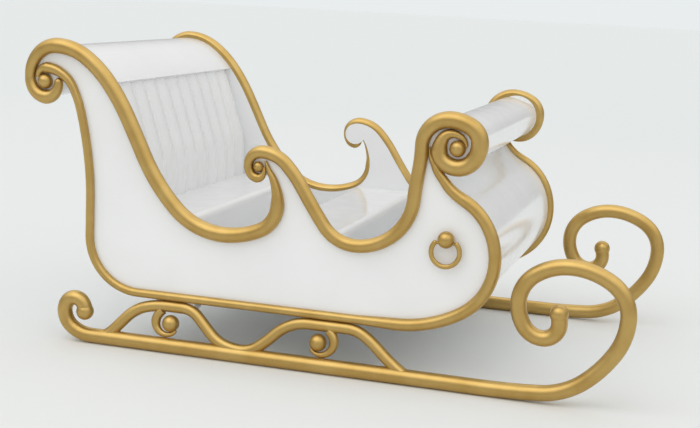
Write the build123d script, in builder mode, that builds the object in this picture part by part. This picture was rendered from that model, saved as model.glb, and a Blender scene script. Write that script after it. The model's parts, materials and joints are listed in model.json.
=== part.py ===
from build123d import *
from math import acos, cos, degrees, radians, sin, sqrt
import os

os.makedirs("parts", exist_ok=True)

# Frame: millimetres, +X to the front, +Z up, origin on the floor between the runners.

# Driving dimensions
bead_span = 1250.0        # between the planes of the left and right beads
bead_stand_off = 8.0      # bead axis outside the panel's outer face
panel_wall = 18.0         # thickness of a side panel
panel_web = 8.0           # part of that thickness which runs on behind the beads
skin = 8.0                # moulded skins between the panels
seat_gap = 0.3            # free space between round pieces that rest on each other

rear_top_radius = 30.0    # bead over the crest and down the back slope
mid_radius = 25.0         # bead from the mid scroll to the post
lower_radius = 16.5       # bead on the rear edge and the bottom
belly_radius = 23.0       # bead round the belly

runner_track = 1316.0     # between the axes of the runners
runner_radius = 29.0
bulb_radius = 34.0        # swelling at each end of a runner
arch_radius = 22.0
drop_eye_radius = 33.0    # ball in the middle of a drop scroll

floor_height = 213.0      # underside of the floor pan, level with the bottom bead's axis
seat_height = 530.0
seat_back_x = -750.0
seat_front_x = -484.0
bench_height = 512.0
bench_rear_x = -195.0
bench_front_x = 82.0
dash_x = 376.0            # face of the dash board towards the seats
nose_radius = 26.0        # rounded front edge of seat and bench
channel_count = 11
channel_depth = 13.0      # swell of an upright channel on the seat back

ball_radius = 31.0
ring_radius = 52.0        # to the middle of the ring's wire
ring_wire = 9.0
pin_radius = 5.0
pin_clearance = 0.5
ring_x = 506.0
ball_z = 548.0
ball_stand_off = 26.0     # ball's middle and pin line outside the panel's outer face
pin_drop = 13.0           # pin line below the ball's middle
ring_drop = 33.0          # ring's middle below the pin line
pin_reach = 22.0          # length of a pin
saddle_length = 160.0
saddle_inner_y = 560.0
saddle_depth = 43.0
cross_bar_radius = 15.0

bead_y = bead_span / 2
panel_outer_y = bead_y - bead_stand_off
panel_inner_y = panel_outer_y - panel_wall
web_y = panel_inner_y + panel_web
runner_y = runner_track / 2
inside_width = 2 * panel_inner_y

# Bead axes seen from the side. Columns: x, z, heading in degrees, bead radius.
rear_dip_end = [
    (-197, 770, -60, 4),
    (-183, 742, -66, 9),
    (-161, 702, -68, 15),
    (-146, 656, -77, 20),
]
rear_slope = [
    (-146, 656, -77, 20),
    (-142, 612, -90, rear_top_radius - 4),
    (-350, 477, 180, rear_top_radius),
    (-690, 754, 116, rear_top_radius),
    (-839, 1014, 128, rear_top_radius),
    (-1060, 1143, 180, rear_top_radius),
]
rear_coil = [
    (-1060, 1143, 180, rear_top_radius),
    (-1176, 1019, -90, 20),
    (-1105, 944, 0, 28),
    (-1053, 1003, 90, 17),
]
mid_coil = [
    (-200, 742, -82, 6),
    (-224, 705, 180, 18),
    (-262, 752, 90, 17),
    (-207, 803, 0, mid_radius),
]
mid_run = [
    (-207, 803, 0, mid_radius),
    (-46, 679, -58, mid_radius),
    (165, 488, 0, mid_radius),
    (376, 680, 86, mid_radius),
    (394, 874, 90, mid_radius),
]
front_coil = [
    (394, 874, 90, mid_radius),
    (494, 975, 0, 31),
    (603, 896, -90, 31.5),
    (526, 807, 180, 31),
    (458, 864, 90, 30),
    (502, 926, 0, 16),
    (555, 886, -84, 6),
]
lower_start = [
    (-1141, 1018, 95, 9),
    (-1104, 1056, 0, 22),
    (-1056, 1046, -25, 20),
    (-1009, 1013, -48, 17.5),
    (-983, 970, -64, lower_radius),
]
lower_rear = [
    (-983, 970, -64, lower_radius),
    (-942, 835, -78, lower_radius),
    (-911, 560, -90, lower_radius),
    (-911, 420, -90, lower_radius),
    (-700, 213, 0, lower_radius),
    (180, 213, 0, lower_radius),
]
lower_belly = [
    (330, 213, 0, belly_radius),
    (684, 480, 90, belly_radius),
    (560, 692, 152, belly_radius),
]
lower_end = [
    (560, 692, 152, belly_radius),
    (489, 748, 128, 19),
    (450, 800, 116, 15),
    (425, 846, 104, 6),
    (423.5, 872, 90, 3),
]

# Scroll discs and eyes. Columns: name, disc x, disc z, disc radius, eye x, eye z, eye radius.
scrolls = {
    "rear": (-1114, 1003, 60, -1110, 1004, 29),
    "mid": (-218, 754, 46, -222, 747, 20),
    "front": (514, 891, 90, 524, 875, 30),
}

# Runner axis. Columns: x, z, heading.
runner_axis = [
    (-909, 122, 88),
    (-951, 172, 180),
    (-996, 120, -90),
    (-880, runner_radius, 0),
    (700, runner_radius, 0),
    (1040, 104, 41),
    (1167, 340, 90),
    (960, 500, 180),
    (783, 356, -90),
    (876, 236, 0),
    (932, 292, 90),
    (928, 330, 98),
]
# The arches lean in from the runner and touch the bottom bead from below.
arch_lean = runner_y - bead_y
arch_rise = floor_height - lower_radius - arch_radius - seat_gap - runner_radius
arch_top = sqrt(arch_lean**2 + arch_rise**2)
# Arch axis in that leaning plane. Columns: x, height above the runner axis, heading.
arch_axis = [
    (-840, 0, 20),
    (-735, 92, 47),
    (-575, arch_top, 0),
    (-510, arch_top, 0),
    (-385, 66, -44),
    (-257, 18, 0),
    (-130, 92, 46),
    (0, arch_top, 0),
    (150, arch_top, 0),
    (275, 88, -42),
    (398, 0, -28),
]
# Drop scroll seen from its eye. Columns: x, height above the runner axis, heading, radius.
drop_tube = [
    (-38, 132, -140, 18),
    (-62, 88, -90, 18),
    (-12, 40, 0, 10.5),
    (24, 60, 70, 6),
]
drop_eye_height = 84.0
# Columns: eye x, side of the stem.
drop_places = [(-553, 1), (44, -1)]


def heading(angle):
    return Vector(cos(radians(angle)), sin(radians(angle)))


def smooth_line(stations):
    """Joins stations by pairs of arcs that leave and arrive along the headings."""
    for start, finish in zip(stations, stations[1:]):
        p0, p1 = Vector(start[0], start[1]), Vector(finish[0], finish[1])
        t0, t1 = heading(start[2]), heading(finish[2])
        chord = p1 - p0
        if abs(t0.cross(chord).Z) + abs(t1.cross(chord).Z) < 1e-6 * chord.length:
            Line(p0, p1)
            continue
        along = chord.dot(t0 + t1)
        turn = 2 * (1 - t0.dot(t1))
        if turn < 1e-9:
            reach = chord.dot(chord) / (4 * chord.dot(t1))
        else:
            reach = (sqrt(along**2 + turn * chord.dot(chord)) - along) / turn
        middle = (p0 + p1 + (t0 - t1) * reach) * 0.5
        t_middle = ((p1 - t1 * reach) - (p0 + t0 * reach)).normalized()
        TangentArc(p0, middle, tangent=t0)
        TangentArc(middle, p1, tangent=t_middle)


def backwards(stations):
    return [(x, z, angle + 180, *rest) for x, z, angle, *rest in reversed(stations)]


def side_plane(y):
    """Upright plane at a given y, with its own x along X and its own y along Z."""
    return Plane(origin=(0, y, 0), x_dir=(1, 0, 0), z_dir=(0, -1, 0))


def round_end(plane, path, place, radius):
    """Circle square to the path at one of its ends."""
    with BuildSketch(Plane(origin=path @ place, x_dir=plane.z_dir, z_dir=path % place)) as end:
        Circle(radius)
    return end.sketch


def axis_wire(stations, plane):
    """The line through the stations, laid on a plane."""
    with BuildLine() as axis:
        smooth_line(stations)
    return axis.wires()[0].moved(plane.location)


def tube(stations, plane, radius):
    """Adds a round bead of one radius through the stations."""
    path = axis_wire(stations, plane)
    sweep(round_end(plane, path, 0, radius), path=path)


def taper(stations, plane):
    """Adds a round bead whose radius runs from station to station."""
    for start, finish in zip(stations, stations[1:]):
        path = axis_wire([start, finish], plane)
        ends = [round_end(plane, path, 0, start[3]), round_end(plane, path, 1, finish[3])]
        sweep(ends, path=path, multisection=True)


def ball(x, z, radius, plane, seam=0.0):
    """Adds a ball on a plane, with its seam turned away from what it joins."""
    with Locations(plane.location * Location((x, z, 0), (0, 0, seam))):
        Sphere(radius)


def end_ball(station, plane, radius):
    """Closes the far end of a bead with a ball."""
    ball(*station[:2], radius, plane, seam=station[2])


right_beads = side_plane(-bead_y)

# Outline of a side panel: the bead axes, closed across the three scroll discs.
with BuildSketch(side_plane(-web_y)) as outline:
    with BuildLine():
        smooth_line(rear_dip_end)
        smooth_line(rear_slope)
        smooth_line(rear_coil[:2])
        Line(rear_coil[1][:2], scrolls["rear"][3:5])
        Line(scrolls["rear"][3:5], lower_start[2][:2])
        smooth_line(lower_start[2:])
        smooth_line(lower_rear)
        Line(lower_rear[-1][:2], lower_belly[0][:2])
        smooth_line(lower_belly)
        smooth_line(lower_end[:3])
        Line(lower_end[2][:2], scrolls["front"][3:5])
        Line(scrolls["front"][3:5], front_coil[2][:2])
        smooth_line(backwards(front_coil[:3]))
        smooth_line(backwards(mid_run))
        smooth_line(backwards(mid_coil[2:]))
        Line(mid_coil[2][:2], scrolls["mid"][3:5])
        Line(scrolls["mid"][3:5], rear_dip_end[0][:2])
    make_face()
    for disc_x, disc_z, disc_radius, eye_x, eye_z, eye_radius in scrolls.values():
        with Locations((disc_x, disc_z)):
            Circle(disc_radius)

# The web of the panel and the room behind it, which every bead is cut back to.
room_size = 4000.0
with BuildPart() as web:
    extrude(outline.sketch, amount=-(web_y - panel_inner_y + rear_top_radius))
    with Locations((0, -panel_inner_y, 0)):
        Box(room_size, rear_top_radius, room_size, align=(Align.CENTER, Align.MIN, Align.CENTER))

with BuildPart() as mid_bead_right:
    taper(mid_coil, right_beads)
    end_ball(backwards(mid_coil)[-1], right_beads, mid_coil[0][3])
    tube(mid_run, right_beads, mid_radius)
    taper(front_coil, right_beads)
    end_ball(front_coil[-1], right_beads, front_coil[-1][3])
    for name in ("mid", "front"):
        ball(*scrolls[name][3:], right_beads, seam=180)
    add(web.part, mode=Mode.SUBTRACT)

with BuildPart() as rear_top_bead_right:
    taper(rear_dip_end + rear_slope[1:2], right_beads)
    taper(rear_slope[1:3], right_beads)
    tube(rear_slope[2:], right_beads, rear_top_radius)
    taper(rear_coil, right_beads)
    end_ball(rear_coil[-1], right_beads, rear_coil[-1][3])
    add(web.part, mode=Mode.SUBTRACT)
    add(mid_bead_right.part, mode=Mode.SUBTRACT)

with BuildPart() as lower_bead_right:
    taper(lower_start, right_beads)
    ball(*scrolls["rear"][3:], right_beads)
    tube(lower_rear, right_beads, lower_radius)
    taper([lower_rear[-1], lower_belly[0]], right_beads)
    tube(lower_belly, right_beads, belly_radius)
    taper(lower_end, right_beads)
    end_ball(lower_end[-1], right_beads, lower_end[-1][3])
    add(web.part, mode=Mode.SUBTRACT)
    add(mid_bead_right.part, mode=Mode.SUBTRACT)

with BuildPart() as side_panel_right:
    extrude(outline.sketch, amount=panel_outer_y - web_y)
    extrude(outline.sketch, amount=-(web_y - panel_inner_y))
    for bead in (rear_top_bead_right, mid_bead_right, lower_bead_right):
        add(bead.part, mode=Mode.SUBTRACT)


def moulded(stations):
    """Adds a moulded skin from panel to panel, with its thickness to the left of the stations."""
    with BuildSketch(Plane.XZ) as section:
        with BuildLine():
            smooth_line(stations)
            offset(amount=skin, side=Side.LEFT)
        make_face()
    extrude(section.sketch, amount=inside_width / 2, both=True)


def plate(x, z_low, z_high):
    """Adds an upright plate from panel to panel in front of x."""
    with Locations((x, 0, z_low)):
        Box(skin, inside_width, z_high - z_low, align=(Align.MIN, Align.CENTER, Align.MIN))


# The crest over the seat back: a lip over the channels, the slope, the roll and its tucked end.
crest_x, crest_z = rear_slope[-2][:2]
lip_length = 46.0
lip_angle = 26.0
lip_end = Vector(crest_x, crest_z) - heading(lip_angle) * lip_length
with BuildPart() as crest_shell:
    with BuildSketch(Plane.XZ) as section:
        with BuildLine():
            Line(lip_end, (crest_x, crest_z))
            smooth_line(rear_slope[-2:] + rear_coil[1:] + [(-1048, 1037, 80)])
            offset(amount=skin, side=Side.LEFT)
        make_face()
    extrude(section.sketch, amount=inside_width / 2, both=True)

with BuildPart() as rear_skin:
    moulded(lower_start[2:-1] + lower_rear[:-1])

with BuildPart() as belly_skin:
    moulded(lower_belly[:-1] + lower_end[:4])

with BuildPart() as dash_roll:
    moulded([(441, 825, -18)] + backwards(mid_run[-2:] + front_coil[1:4]))

with BuildPart() as dash_board:
    plate(dash_x, floor_height + skin, mid_run[-2][1])
    add(belly_skin.part, mode=Mode.SUBTRACT)
    add(dash_roll.part, mode=Mode.SUBTRACT)

# Seat: a back of upright channels, a cushion skin with a rounded front and a riser under it.
back_set_in = 32.0         # back channels behind the tip of the lip
back_top = Vector(crest_x, crest_z) - heading(lip_angle) * back_set_in
back_axis = [
    (back_top.X, back_top.Y, lip_angle - 90),
    (-806, 836, -72),
    (seat_back_x - 7, 640, -90),
    (seat_back_x - 7, seat_height - skin, -90),
]
channel_width = inside_width / channel_count
back_start = Plane(
    origin=(back_axis[0][0], 0, back_axis[0][1]),
    x_dir=(0, 1, 0),
    z_dir=(cos(radians(back_axis[0][2])), 0, sin(radians(back_axis[0][2]))),
)
with BuildPart() as seat_back:
    with BuildSketch(back_start) as channels:
        with BuildLine():
            for channel in range(channel_count):
                left = channel * channel_width - inside_width / 2
                right = left + channel_width
                ThreePointArc((left, 0), ((left + right) / 2, channel_depth), (right, 0))
            Polyline(
                (inside_width / 2, 0),
                (inside_width / 2, -skin),
                (-inside_width / 2, -skin),
                (-inside_width / 2, 0),
            )
        make_face()
    sweep(channels.sketch, path=axis_wire(back_axis, side_plane(0)))

riser_top = seat_height - nose_radius - 34
with BuildPart() as seat_top:
    moulded([
        (seat_front_x, riser_top, 90),
        (seat_front_x, seat_height - nose_radius, 90),
        (seat_front_x - nose_radius, seat_height, 180),
        (seat_back_x - 7 - skin, seat_height, 180),
    ])
    add(seat_back.part, mode=Mode.SUBTRACT)

with BuildPart() as seat_riser:
    plate(seat_front_x - skin, floor_height, riser_top)

# Front bench: the same skin, rounded at the front and turned down at the back.
with BuildPart() as bench_top:
    moulded([
        (bench_front_x, 456, 90),
        (bench_front_x, bench_height - nose_radius, 90),
        (bench_front_x - nose_radius, bench_height, 180),
        (bench_rear_x + 10, bench_height, 180),
        (bench_rear_x, bench_height - 10, -90),
        (bench_rear_x, riser_top, -90),
    ])

with BuildPart() as bench_front:
    plate(bench_front_x - skin, floor_height, 456)

with BuildPart() as bench_rear:
    plate(bench_rear_x, floor_height, riser_top)

# The floor is let in between the risers.
floor_rear_x = lower_rear[-2][0]
floor_front_x = lower_belly[0][0]
with BuildPart() as floor_pan:
    with Locations((floor_rear_x, 0, floor_height)):
        Box(floor_front_x - floor_rear_x, inside_width, skin, align=(Align.MIN, Align.CENTER, Align.MIN))
    for riser in (seat_riser, bench_front, bench_rear):
        add(riser.part, mode=Mode.SUBTRACT)

# Runners with their scrolled ends.
right_runner = side_plane(-runner_y)
with BuildPart() as runner_right:
    tube(runner_axis, right_runner, runner_radius)
    end_ball(backwards(runner_axis)[-1], right_runner, bulb_radius)
    end_ball(runner_axis[-1], right_runner, bulb_radius)

# Arches and drop scrolls, in the plane that leans in over each runner.
right_arches = Plane(
    origin=(0, -runner_y, runner_radius),
    x_dir=(1, 0, 0),
    z_dir=(0, -arch_rise, arch_lean),
)
with BuildPart() as runner_arches_right:
    tube(arch_axis, right_arches, arch_radius)
    add(runner_right.part, mode=Mode.SUBTRACT)

with BuildPart() as drop_scrolls_right:
    for eye_x, side in drop_places:
        drop = [(eye_x + side * x, z, angle if side > 0 else 180 - angle, r) for x, z, angle, r in drop_tube]
        taper(drop, right_arches)
        ball(eye_x, drop_eye_height, drop_eye_radius, right_arches)
    add(runner_arches_right.part, mode=Mode.SUBTRACT)
    add(runner_right.part, mode=Mode.SUBTRACT)

# Saddles on the arches, under the floor, and the bars across between them.
saddle_places = ((arch_axis[2][0] + arch_axis[3][0]) / 2, (arch_axis[7][0] + arch_axis[8][0]) / 2)
with BuildPart() as arch_saddles_right:
    for x in saddle_places:
        with Locations((x, -bead_y, floor_height)):
            Box(saddle_length, bead_y - saddle_inner_y, saddle_depth, align=(Align.CENTER, Align.MIN, Align.MAX))
    add(runner_arches_right.part, mode=Mode.SUBTRACT)
    add(lower_bead_right.part, mode=Mode.SUBTRACT)

bar_z = floor_height - saddle_depth + cross_bar_radius
with BuildPart() as cross_bar_rear:
    with Locations(Plane(origin=(saddle_places[0], 0, bar_z), z_dir=(0, 1, 0))):
        Cylinder(cross_bar_radius, 2 * saddle_inner_y)

with BuildPart() as cross_bar_front:
    with Locations(Plane(origin=(saddle_places[1], 0, bar_z), z_dir=(0, 1, 0))):
        Cylinder(cross_bar_radius, 2 * saddle_inner_y)

# Ball and ring pull on each side of the front body.
pull_y = panel_outer_y + ball_stand_off
pin_z = ball_z - pin_drop
ring_half_gap = sqrt(ring_radius**2 - ring_drop**2)
with BuildPart() as pull_ball_right:
    ball(ring_x, ball_z, ball_radius, side_plane(-pull_y), seam=90)
    with Locations((ring_x, -panel_outer_y, ball_z)):
        Box(2 * ball_radius, 2 * ball_radius, 2 * ball_radius,
            align=(Align.CENTER, Align.MIN, Align.CENTER), mode=Mode.SUBTRACT)
    for side in (-1, 1):
        with Locations(Plane(origin=(ring_x + side * ring_half_gap, -pull_y, pin_z), z_dir=(-side, 0, 0))):
            Cylinder(pin_radius + pin_clearance, pin_reach + 1,
                     align=(Align.CENTER, Align.CENTER, Align.MIN), mode=Mode.SUBTRACT)

with BuildPart() as pull_ring_right:
    with BuildLine(side_plane(-pull_y)) as wire_axis:
        gap_angle = degrees(acos(ring_drop / ring_radius))
        CenterArc((ring_x, pin_z - ring_drop), ring_radius, 90 + gap_angle, 360 - 2 * gap_angle)
    wire_path = wire_axis.wires()[0]
    sweep(round_end(side_plane(-pull_y), wire_path, 0, ring_wire), path=wire_path)
    for side in (-1, 1):
        with Locations((ring_x + side * ring_half_gap, -pull_y, pin_z)):
            Sphere(ring_wire)
        with Locations(Plane(origin=(ring_x + side * ring_half_gap, -pull_y, pin_z), z_dir=(-side, 0, 0))):
            Cylinder(pin_radius, pin_reach, align=(Align.CENTER, Align.CENTER, Align.MIN))

# The left side mirrors the right one.
with BuildPart() as side_panel_left:
    mirror(side_panel_right.part, about=Plane.XZ)
with BuildPart() as rear_top_bead_left:
    mirror(rear_top_bead_right.part, about=Plane.XZ)
with BuildPart() as mid_bead_left:
    mirror(mid_bead_right.part, about=Plane.XZ)
with BuildPart() as lower_bead_left:
    mirror(lower_bead_right.part, about=Plane.XZ)
with BuildPart() as runner_left:
    mirror(runner_right.part, about=Plane.XZ)
with BuildPart() as runner_arches_left:
    mirror(runner_arches_right.part, about=Plane.XZ)
with BuildPart() as drop_scrolls_left:
    mirror(drop_scrolls_right.part, about=Plane.XZ)
with BuildPart() as arch_saddles_left:
    mirror(arch_saddles_right.part, about=Plane.XZ)
with BuildPart() as pull_ball_left:
    mirror(pull_ball_right.part, about=Plane.XZ)
with BuildPart() as pull_ring_left:
    mirror(pull_ring_right.part, about=Plane.XZ)

side_panel_right.part.label = "side_panel_right"
export_step(side_panel_right.part, "parts/side_panel_right.step")
side_panel_left.part.label = "side_panel_left"
export_step(side_panel_left.part, "parts/side_panel_left.step")
rear_top_bead_right.part.label = "rear_top_bead_right"
export_step(rear_top_bead_right.part, "parts/rear_top_bead_right.step")
rear_top_bead_left.part.label = "rear_top_bead_left"
export_step(rear_top_bead_left.part, "parts/rear_top_bead_left.step")
mid_bead_right.part.label = "mid_bead_right"
export_step(mid_bead_right.part, "parts/mid_bead_right.step")
mid_bead_left.part.label = "mid_bead_left"
export_step(mid_bead_left.part, "parts/mid_bead_left.step")
lower_bead_right.part.label = "lower_bead_right"
export_step(lower_bead_right.part, "parts/lower_bead_right.step")
lower_bead_left.part.label = "lower_bead_left"
export_step(lower_bead_left.part, "parts/lower_bead_left.step")
runner_right.part.label = "runner_right"
export_step(runner_right.part, "parts/runner_right.step")
runner_left.part.label = "runner_left"
export_step(runner_left.part, "parts/runner_left.step")
runner_arches_right.part.label = "runner_arches_right"
export_step(runner_arches_right.part, "parts/runner_arches_right.step")
runner_arches_left.part.label = "runner_arches_left"
export_step(runner_arches_left.part, "parts/runner_arches_left.step")
drop_scrolls_right.part.label = "drop_scrolls_right"
export_step(drop_scrolls_right.part, "parts/drop_scrolls_right.step")
drop_scrolls_left.part.label = "drop_scrolls_left"
export_step(drop_scrolls_left.part, "parts/drop_scrolls_left.step")
arch_saddles_right.part.label = "arch_saddles_right"
export_step(arch_saddles_right.part, "parts/arch_saddles_right.step")
arch_saddles_left.part.label = "arch_saddles_left"
export_step(arch_saddles_left.part, "parts/arch_saddles_left.step")
pull_ball_right.part.label = "pull_ball_right"
export_step(pull_ball_right.part, "parts/pull_ball_right.step")
pull_ball_left.part.label = "pull_ball_left"
export_step(pull_ball_left.part, "parts/pull_ball_left.step")
pull_ring_right.part.label = "pull_ring_right"
export_step(pull_ring_right.part, "parts/pull_ring_right.step")
pull_ring_left.part.label = "pull_ring_left"
export_step(pull_ring_left.part, "parts/pull_ring_left.step")
crest_shell.part.label = "crest_shell"
export_step(crest_shell.part, "parts/crest_shell.step")
rear_skin.part.label = "rear_skin"
export_step(rear_skin.part, "parts/rear_skin.step")
floor_pan.part.label = "floor_pan"
export_step(floor_pan.part, "parts/floor_pan.step")
belly_skin.part.label = "belly_skin"
export_step(belly_skin.part, "parts/belly_skin.step")
dash_roll.part.label = "dash_roll"
export_step(dash_roll.part, "parts/dash_roll.step")
dash_board.part.label = "dash_board"
export_step(dash_board.part, "parts/dash_board.step")
seat_back.part.label = "seat_back"
export_step(seat_back.part, "parts/seat_back.step")
seat_top.part.label = "seat_top"
export_step(seat_top.part, "parts/seat_top.step")
seat_riser.part.label = "seat_riser"
export_step(seat_riser.part, "parts/seat_riser.step")
bench_top.part.label = "bench_top"
export_step(bench_top.part, "parts/bench_top.step")
bench_front.part.label = "bench_front"
export_step(bench_front.part, "parts/bench_front.step")
bench_rear.part.label = "bench_rear"
export_step(bench_rear.part, "parts/bench_rear.step")
cross_bar_rear.part.label = "cross_bar_rear"
export_step(cross_bar_rear.part, "parts/cross_bar_rear.step")
cross_bar_front.part.label = "cross_bar_front"
export_step(cross_bar_front.part, "parts/cross_bar_front.step")
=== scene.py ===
import json
import logging
import math
from dataclasses import dataclass
from enum import Enum

import bpy
from mathutils import Matrix, Vector

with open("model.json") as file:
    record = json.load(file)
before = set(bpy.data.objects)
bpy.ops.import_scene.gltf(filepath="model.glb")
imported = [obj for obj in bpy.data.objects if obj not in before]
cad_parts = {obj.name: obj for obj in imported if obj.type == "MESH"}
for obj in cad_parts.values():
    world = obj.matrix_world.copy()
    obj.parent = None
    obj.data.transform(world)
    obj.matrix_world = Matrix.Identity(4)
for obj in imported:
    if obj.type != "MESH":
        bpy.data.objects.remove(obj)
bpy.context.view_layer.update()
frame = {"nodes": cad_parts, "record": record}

log = logging.getLogger("sleigh")

PHOTO_WIDTH = 700         # the photograph's width in pixels
SENSOR_MM = 36.0
MM_PER_M = 1000.0
Socket = bpy.types.NodeSocket
Value = float | tuple[float, ...] | Socket


class Slot(Enum):
    """The record's material slots."""

    GELCOAT = "white_gelcoat"
    GOLD = "gold_paint"
    STEEL = "painted_steel"


def linear(hex_colour: str) -> tuple[float, float, float, float]:
    """Turns an sRGB hex colour to the linear values that a shader takes.

    Args:
        hex_colour: six hex digits after a hash sign.

    Returns:
        Linear red, green and blue, and an alpha of 1.
    """
    parts = [int(hex_colour[i : i + 2], 16) / 255 for i in (1, 3, 5)]
    lit = [c / 12.92 if c <= 0.04045 else ((c + 0.055) / 1.055) ** 2.4 for c in parts]
    return (lit[0], lit[1], lit[2], 1.0)


def per_metre(size_mm: float) -> float:
    """The scale of a noise in object space whose pattern is size_mm across."""
    return MM_PER_M / size_mm


def add_node(
    tree: bpy.types.NodeTree, kind: str, links: dict[str, Value] | None = None, **settings: object
) -> bpy.types.ShaderNode:
    """Adds one shader node.

    Args:
        tree: the node tree that it goes into.
        kind: the node's type name.
        links: values or sockets for its inputs, by name or by number.
        settings: properties of the node itself.

    Returns:
        The new node.
    """
    node = tree.nodes.new(kind)
    for name, value in settings.items():
        setattr(node, name, value)
    for name, value in (links or {}).items():
        socket = node.inputs[int(name)] if name.isdigit() else node.inputs[name]
        if isinstance(value, bpy.types.NodeSocket):
            tree.links.new(value, socket)
        else:
            socket.default_value = value
    return node


def new_material(name: str) -> tuple[bpy.types.Material, bpy.types.NodeTree]:
    """Makes an empty node material.

    Args:
        name: the material's name.

    Returns:
        The material and its node tree.
    """
    material = bpy.data.materials.new(name)
    material.use_nodes = True
    material.node_tree.nodes.clear()
    return material, material.node_tree


def ramp(tree: bpy.types.NodeTree, fac: Socket, stops: list[tuple[float, str]]) -> Socket:
    """Adds a colour ramp.

    Args:
        tree: the node tree that it goes into.
        fac: what drives it.
        stops: places from 0 to 1, each with its sRGB hex colour.

    Returns:
        The ramp's colour.
    """
    node = add_node(tree, "ShaderNodeValToRGB", {"Fac": fac})
    elements = node.color_ramp.elements
    while len(elements) < len(stops):
        elements.new(0.5)
    for element, (place, hex_colour) in zip(elements, stops):
        element.position = place
        element.color = linear(hex_colour)
    return node.outputs["Color"]


@dataclass(frozen=True)
class MouldedGelcoat:
    """White polyester gelcoat, sprayed into a polished mould and backed with glass fibre.

    The eye sees a clean, faintly cool white with a wet gloss. Reflections waver a little over a
    hand's width where the glass behind has drawn, and break up finely in the sprayed skin.
    """

    white: str = "#EFF0F1"
    thick_white: str = "#F3F4F5"
    polish: float = 0.10
    dull: float = 0.20
    ior: float = 1.5
    cloud_mm: float = 300.0
    wipe_mm: float = 70.0
    draw_mm: float = 160.0
    draw_depth_mm: float = 0.25
    peel_mm: float = 5.0
    peel_depth_mm: float = 0.006

    def build(self) -> bpy.types.Material:
        """Returns the finished material."""
        material, tree = new_material("moulded_gelcoat")
        place = add_node(tree, "ShaderNodeTexCoord").outputs["Object"]
        cloud = add_node(
            tree, "ShaderNodeTexNoise", {"Vector": place, "Scale": per_metre(self.cloud_mm), "Detail": 3.0}
        )
        colour = ramp(tree, cloud.outputs["Fac"], [(0.3, self.white), (0.7, self.thick_white)])
        wiped = add_node(
            tree, "ShaderNodeTexNoise", {"Vector": place, "Scale": per_metre(self.wipe_mm), "Detail": 4.0}
        )
        rough = add_node(
            tree, "ShaderNodeMapRange",
            {"Value": wiped.outputs["Fac"], "From Min": 0.3, "From Max": 0.7,
             "To Min": self.polish, "To Max": self.dull},
        )
        draw = add_node(
            tree, "ShaderNodeTexNoise", {"Vector": place, "Scale": per_metre(self.draw_mm), "Detail": 1.0}
        )
        waver = add_node(
            tree, "ShaderNodeBump",
            {"Height": draw.outputs["Fac"], "Strength": 1.0, "Distance": self.draw_depth_mm / MM_PER_M},
        )
        peel = add_node(
            tree, "ShaderNodeTexNoise", {"Vector": place, "Scale": per_metre(self.peel_mm), "Detail": 2.0}
        )
        skin = add_node(
            tree, "ShaderNodeBump",
            {"Height": peel.outputs["Fac"], "Strength": 1.0, "Distance": self.peel_depth_mm / MM_PER_M,
             "Normal": waver.outputs["Normal"]},
        )
        shader = add_node(
            tree, "ShaderNodeBsdfPrincipled",
            {"Base Color": colour, "Roughness": rough.outputs["Result"], "IOR": self.ior,
             "Normal": skin.outputs["Normal"]},
        )
        add_node(tree, "ShaderNodeOutputMaterial", {"Surface": shader.outputs["BSDF"]})
        return material


@dataclass(frozen=True)
class SprayedGold:
    """Gold bronze paint, sprayed over the mouldings in two coats.

    The eye sees a warm satin metal: broad soft highlights with no sharp mirror, a faint cloudiness
    where the spray lapped, and the sparkle of the bronze powder.
    """

    gold: str = "#C3A463"
    lapped: str = "#B99856"
    metallic: float = 0.85
    satin: float = 0.34
    dry: float = 0.44
    lap_mm: float = 90.0
    powder_mm: float = 2.5
    powder_depth_mm: float = 0.004
    run_mm: float = 28.0
    run_depth_mm: float = 0.08

    def build(self) -> bpy.types.Material:
        """Returns the finished material."""
        material, tree = new_material("sprayed_gold_bronze")
        place = add_node(tree, "ShaderNodeTexCoord").outputs["Object"]
        lap = add_node(
            tree, "ShaderNodeTexNoise", {"Vector": place, "Scale": per_metre(self.lap_mm), "Detail": 4.0}
        )
        colour = ramp(tree, lap.outputs["Fac"], [(0.32, self.lapped), (0.62, self.gold)])
        # Bronze powder is about 0.05 mm; it is drawn at 2.5 mm so that it shows in the render.
        powder = add_node(
            tree, "ShaderNodeTexNoise", {"Vector": place, "Scale": per_metre(self.powder_mm), "Detail": 3.0}
        )
        rough = add_node(
            tree, "ShaderNodeMapRange",
            {"Value": powder.outputs["Fac"], "From Min": 0.3, "From Max": 0.7,
             "To Min": self.satin, "To Max": self.dry},
        )
        run = add_node(
            tree, "ShaderNodeTexNoise", {"Vector": place, "Scale": per_metre(self.run_mm), "Detail": 2.0}
        )
        soft = add_node(
            tree, "ShaderNodeBump",
            {"Height": run.outputs["Fac"], "Strength": 1.0, "Distance": self.run_depth_mm / MM_PER_M},
        )
        grain = add_node(
            tree, "ShaderNodeBump",
            {"Height": powder.outputs["Fac"], "Strength": 1.0, "Distance": self.powder_depth_mm / MM_PER_M,
             "Normal": soft.outputs["Normal"]},
        )
        shader = add_node(
            tree, "ShaderNodeBsdfPrincipled",
            {"Base Color": colour, "Metallic": self.metallic, "Roughness": rough.outputs["Result"],
             "Normal": grain.outputs["Normal"]},
        )
        add_node(tree, "ShaderNodeOutputMaterial", {"Surface": shader.outputs["BSDF"]})
        return material


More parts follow.
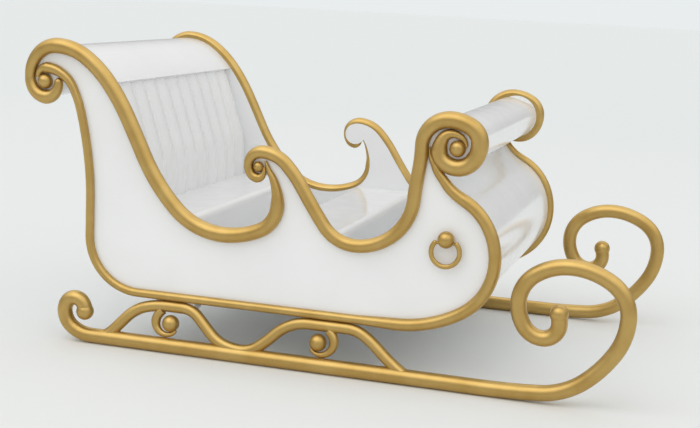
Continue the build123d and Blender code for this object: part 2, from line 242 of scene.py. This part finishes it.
@dataclass(frozen=True)
class BrushedSteelPaint:
    """White oil paint, brushed on the welded steel under the floor.

    The eye sees a plain semi-gloss white with the drag of the brush along it.
    """

    white: str = "#E4E5E4"
    thin: str = "#D6D7D5"
    gloss: float = 0.32
    flat: float = 0.48
    ior: float = 1.5
    bristle_mm: float = 4.0
    bristle_depth_mm: float = 0.03
    drag: float = 0.08        # how far the bristle marks are shrunk along the brush's way, across the sleigh

    def build(self) -> bpy.types.Material:
        """Returns the finished material."""
        material, tree = new_material("brushed_oil_paint_on_steel")
        place = add_node(tree, "ShaderNodeTexCoord").outputs["Object"]
        drawn_out = add_node(tree, "ShaderNodeMapping", {"Vector": place, "Scale": (1.0, self.drag, 1.0)})
        bristle = add_node(
            tree, "ShaderNodeTexNoise",
            {"Vector": drawn_out.outputs["Vector"], "Scale": per_metre(self.bristle_mm), "Detail": 3.0},
        )
        colour = ramp(tree, bristle.outputs["Fac"], [(0.35, self.thin), (0.6, self.white)])
        rough = add_node(
            tree, "ShaderNodeMapRange",
            {"Value": bristle.outputs["Fac"], "To Min": self.gloss, "To Max": self.flat},
        )
        ridge = add_node(
            tree, "ShaderNodeBump",
            {"Height": bristle.outputs["Fac"], "Strength": 1.0, "Distance": self.bristle_depth_mm / MM_PER_M},
        )
        shader = add_node(
            tree, "ShaderNodeBsdfPrincipled",
            {"Base Color": colour, "Roughness": rough.outputs["Result"], "IOR": self.ior,
             "Normal": ridge.outputs["Normal"]},
        )
        add_node(tree, "ShaderNodeOutputMaterial", {"Surface": shader.outputs["BSDF"]})
        return material


@dataclass
class Studio:
    """A pale studio: a floor that runs out of sight, a soft sky and two broad lamps."""

    floor_half_m: float = 60.0
    floor_near_y: float = -1.5
    floor_far_y: float = 9.0
    floor_near: str = "#F1F3F3"
    floor_far: str = "#E9EDEE"
    sky_colour: str = "#F2F2F0"
    sky_strength: float = 0.84
    horizon_gloss: float = 0.35
    top_gloss: float = 1.6
    top_height: float = 0.8   # where the sky in gloss is at its brightest, from 0 level to 1 overhead
    key_way: tuple[float, float, float] = (-0.35, -0.62, 1.0)
    key_strength: float = 0.6
    key_angle: float = 55.0
    fill_way: tuple[float, float, float] = (0.9, -0.5, 0.55)
    fill_strength: float = 0.25
    fill_angle: float = 80.0

    def build(self) -> None:
        """Makes the floor, the sky and the lamps."""
        self.floor()
        self.sky()
        self.lamp("key_lamp", Vector(self.key_way), self.key_strength, self.key_angle)
        self.lamp("fill_lamp", Vector(self.fill_way), self.fill_strength, self.fill_angle)

    def floor(self) -> None:
        """Lays the floor."""
        mesh = bpy.data.meshes.new("floor")
        h = self.floor_half_m
        mesh.from_pydata([(-h, -h, 0), (h, -h, 0), (h, h, 0), (-h, h, 0)], [], [(0, 1, 2, 3)])
        plate = bpy.data.objects.new("floor", mesh)
        bpy.context.scene.collection.objects.link(plate)
        material, tree = new_material("painted_studio_floor")
        place = add_node(tree, "ShaderNodeTexCoord").outputs["Object"]
        split = add_node(tree, "ShaderNodeSeparateXYZ", {"Vector": place})
        depth = add_node(
            tree, "ShaderNodeMapRange",
            {"Value": split.outputs["Y"], "From Min": self.floor_near_y, "From Max": self.floor_far_y},
        )
        colour = ramp(tree, depth.outputs["Result"], [(0.0, self.floor_near), (1.0, self.floor_far)])
        shader = add_node(
            tree, "ShaderNodeBsdfPrincipled",
            {"Base Color": colour, "Roughness": 0.7, "Specular IOR Level": 0.2},
        )
        add_node(tree, "ShaderNodeOutputMaterial", {"Surface": shader.outputs["BSDF"]})
        mesh.materials.append(material)

    def sky(self) -> None:
        """Sets an even sky, pale to the camera, whose walls look dim and top bright in gloss."""
        world = bpy.data.worlds.new("studio")
        bpy.context.scene.world = world
        world.use_nodes = True
        tree = world.node_tree
        tree.nodes.clear()
        way = add_node(tree, "ShaderNodeTexCoord").outputs["Generated"]
        height = add_node(tree, "ShaderNodeSeparateXYZ", {"Vector": way}).outputs["Z"]
        rise = add_node(
            tree, "ShaderNodeMapRange",
            {"Value": height, "From Max": self.top_height,
             "To Min": self.horizon_gloss, "To Max": self.top_gloss},
            interpolation_type="SMOOTHSTEP",
        )
        ray = add_node(tree, "ShaderNodeLightPath")
        tint = linear(self.sky_colour)
        even = add_node(tree, "ShaderNodeBackground", {"Color": tint, "Strength": self.sky_strength})
        graded = add_node(tree, "ShaderNodeBackground", {"Color": tint, "Strength": rise.outputs["Result"]})
        seen = add_node(tree, "ShaderNodeBackground", {"Color": linear(self.floor_far), "Strength": 1.0})
        light = add_node(
            tree, "ShaderNodeMixShader",
            {"Fac": ray.outputs["Is Glossy Ray"],
             "1": even.outputs["Background"], "2": graded.outputs["Background"]},
        )
        mix = add_node(
            tree, "ShaderNodeMixShader",
            {"Fac": ray.outputs["Is Camera Ray"],
             "1": light.outputs["Shader"], "2": seen.outputs["Background"]},
        )
        add_node(tree, "ShaderNodeOutputWorld", {"Surface": mix.outputs["Shader"]})

    def lamp(self, name: str, towards: Vector, strength: float, angle: float) -> None:
        """Adds a broad, far lamp.

        Args:
            name: the lamp's name.
            towards: the way from the object to the lamp.
            strength: its strength in watts per square metre.
            angle: its width in degrees as the object sees it.
        """
        light = bpy.data.lights.new(name, "SUN")
        light.energy = strength
        light.angle = math.radians(angle)
        holder = bpy.data.objects.new(name, light)
        holder.rotation_mode = "QUATERNION"
        holder.rotation_quaternion = towards.to_track_quat("Z", "Y")
        bpy.context.scene.collection.objects.link(holder)


@dataclass
class PhotoCamera:
    """The camera where the photographer stood, worked out from the two side panels."""

    place_m: tuple[float, float, float] = (1.50375, -5.2171, 1.4349)
    focal_px: float = 1333.74
    yaw: float = 16.544
    pitch: float = 9.842
    roll: float = 2.794

    def build(self) -> None:
        """Makes the camera and sets it as the scene's."""
        data = bpy.data.cameras.new("camera")
        data.sensor_width = SENSOR_MM
        data.lens = self.focal_px * SENSOR_MM / PHOTO_WIDTH
        data.clip_end = 200.0
        camera = bpy.data.objects.new("camera", data)
        yaw, pitch, roll = (math.radians(a) for a in (self.yaw, self.pitch, self.roll))
        ahead = math.cos(pitch)
        forward = Vector((-math.sin(yaw) * ahead, math.cos(yaw) * ahead, -math.sin(pitch)))
        level = Vector((math.cos(yaw), math.sin(yaw), 0.0))
        upright = level.cross(forward)
        right = math.cos(roll) * level + math.sin(roll) * upright
        up = -math.sin(roll) * level + math.cos(roll) * upright
        turn = Matrix((right, up, -forward)).transposed().to_4x4()
        camera.matrix_world = Matrix.Translation(self.place_m) @ turn
        bpy.context.scene.collection.objects.link(camera)
        bpy.context.scene.camera = camera


@dataclass
class Dressing:
    """Puts the finishes on the pieces that come from the frame."""

    finishes: dict[Slot, bpy.types.Material]

    def build(self) -> None:
        """Dresses every node by the slot that the record gives it."""
        for row in frame["record"]["subparts"]:
            node = frame["nodes"][row["node"]]
            self.dress(node, self.finishes[Slot(row["material_slot"])])
            log.info("dressed %s as %s", row["node"], row["material_slot"])

    def dress(self, node: bpy.types.Object, material: bpy.types.Material) -> None:
        """Gives one node its material.

        Args:
            node: the node's object.
            material: its finish.
        """
        if not node.material_slots:
            node.data.materials.append(material)
        for slot in node.material_slots:
            slot.material = material


def main() -> None:
    """Builds the camera, the studio and the sleigh's looks, in that order."""
    logging.basicConfig(level=logging.INFO, format="%(name)s: %(message)s")
    view = bpy.context.scene.view_settings
    view.view_transform = "Standard"
    PhotoCamera().build()
    Studio().build()
    finishes = {
        Slot.GELCOAT: MouldedGelcoat().build(),
        Slot.GOLD: SprayedGold().build(),
        Slot.STEEL: BrushedSteelPaint().build(),
    }
    Dressing(finishes).build()


if __name__ == "__main__":
    main()
